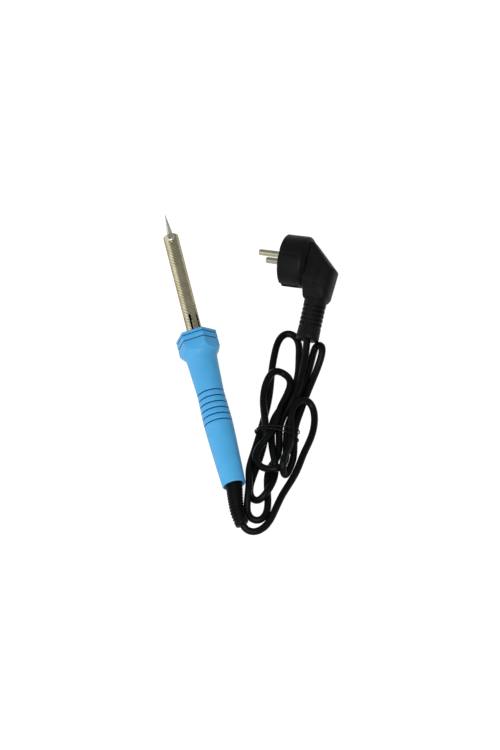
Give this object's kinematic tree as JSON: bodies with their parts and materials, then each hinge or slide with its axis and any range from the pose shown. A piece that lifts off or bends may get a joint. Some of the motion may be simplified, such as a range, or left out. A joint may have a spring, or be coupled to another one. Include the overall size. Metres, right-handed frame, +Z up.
{
  "type": "soldering iron",
  "caption": "Mains soldering iron with a pointed tip in a slotted barrel, a grooved handle with a six-sided flange, and a bundled lead with an angled two-pin plug.",
  "frame": {"origin": "on the bench, below the middle of the iron's own bounding box, with the strain relief, lead and plug left out", "axes": "+Z up from the bench; +Y along the iron as seen from above, from the handle's rear rim towards the tip; +X to the side on which the lead and plug lie"},
  "size_m": [0.1342, 0.2786, 0.0414],
  "materials": {
    "blue_handle": "satin moulded thermoplastic",
    "barrel_metal": "turned and polished, nickel plated",
    "tip_metal": "iron plated, satin",
    "screw_steel": "bright nickel plated",
    "plain_steel": "zinc plated",
    "ceramic": "fired ceramic",
    "mica": "laminated mica sheet",
    "glass_fibre": "braided glass fibre",
    "brass": "plain",
    "wire_insulation": "satin",
    "lead_rubber": "satin extruded rubber",
    "relief_rubber": "satin moulded rubber",
    "tie_plastic": "plastic covered wire",
    "plug_plastic": "fine moulded texture",
    "pin_nickel": "nickel plated",
    "clip_metal": "tin plated brass strip"
  },
  "bodies": {
    "iron": {"handle_shell": "blue_handle", "barrel_tube": "barrel_metal", "tip_bush": "plain_steel", "mounting_disc": "plain_steel", "disc_screw_1": "screw_steel", "disc_screw_2": "screw_steel", "disc_screw_3": "screw_steel", "heater_former": "ceramic", "heater_winding": "plain_steel", "mica_wrap": "mica", "rear_insulator": "ceramic", "heater_lead_live": "barrel_metal", "heater_lead_neutral": "barrel_metal", "lead_sleeve_live": "glass_fibre", "lead_sleeve_neutral": "glass_fibre", "crimp_live": "brass", "crimp_neutral": "brass", "live_conductor": "wire_insulation", "neutral_conductor": "wire_insulation", "earth_band": "plain_steel", "earth_conductor": "wire_insulation", "lead_jacket_end": "lead_rubber", "lead_ferrule": "brass", "strain_relief": "relief_rubber", "lead": "lead_rubber", "lead_tie": "tie_plastic", "plug_body": "plug_plastic", "plug_pin_1": "pin_nickel", "plug_pin_2": "pin_nickel", "earth_clip_1": "clip_metal", "earth_clip_2": "clip_metal"},
    "tip": {"tip": "tip_metal"},
    "tip_screw": {"tip_screw": "screw_steel"}
  },
  "joints": [
    {"name": "tip_slide", "type": "slide", "parent": "iron", "child": "tip", "axis": [0, 0.9983, 0.0583], "range_m": [0, 0.05]},
    {"name": "tip_screw_turn", "type": "hinge", "parent": "iron", "child": "tip_screw", "pos_m": [-0.00075, 0.09463, 0.02768], "axis": [-0.1219, -0.0579, 0.9909], "range_deg": [0, 720]}
  ]
}
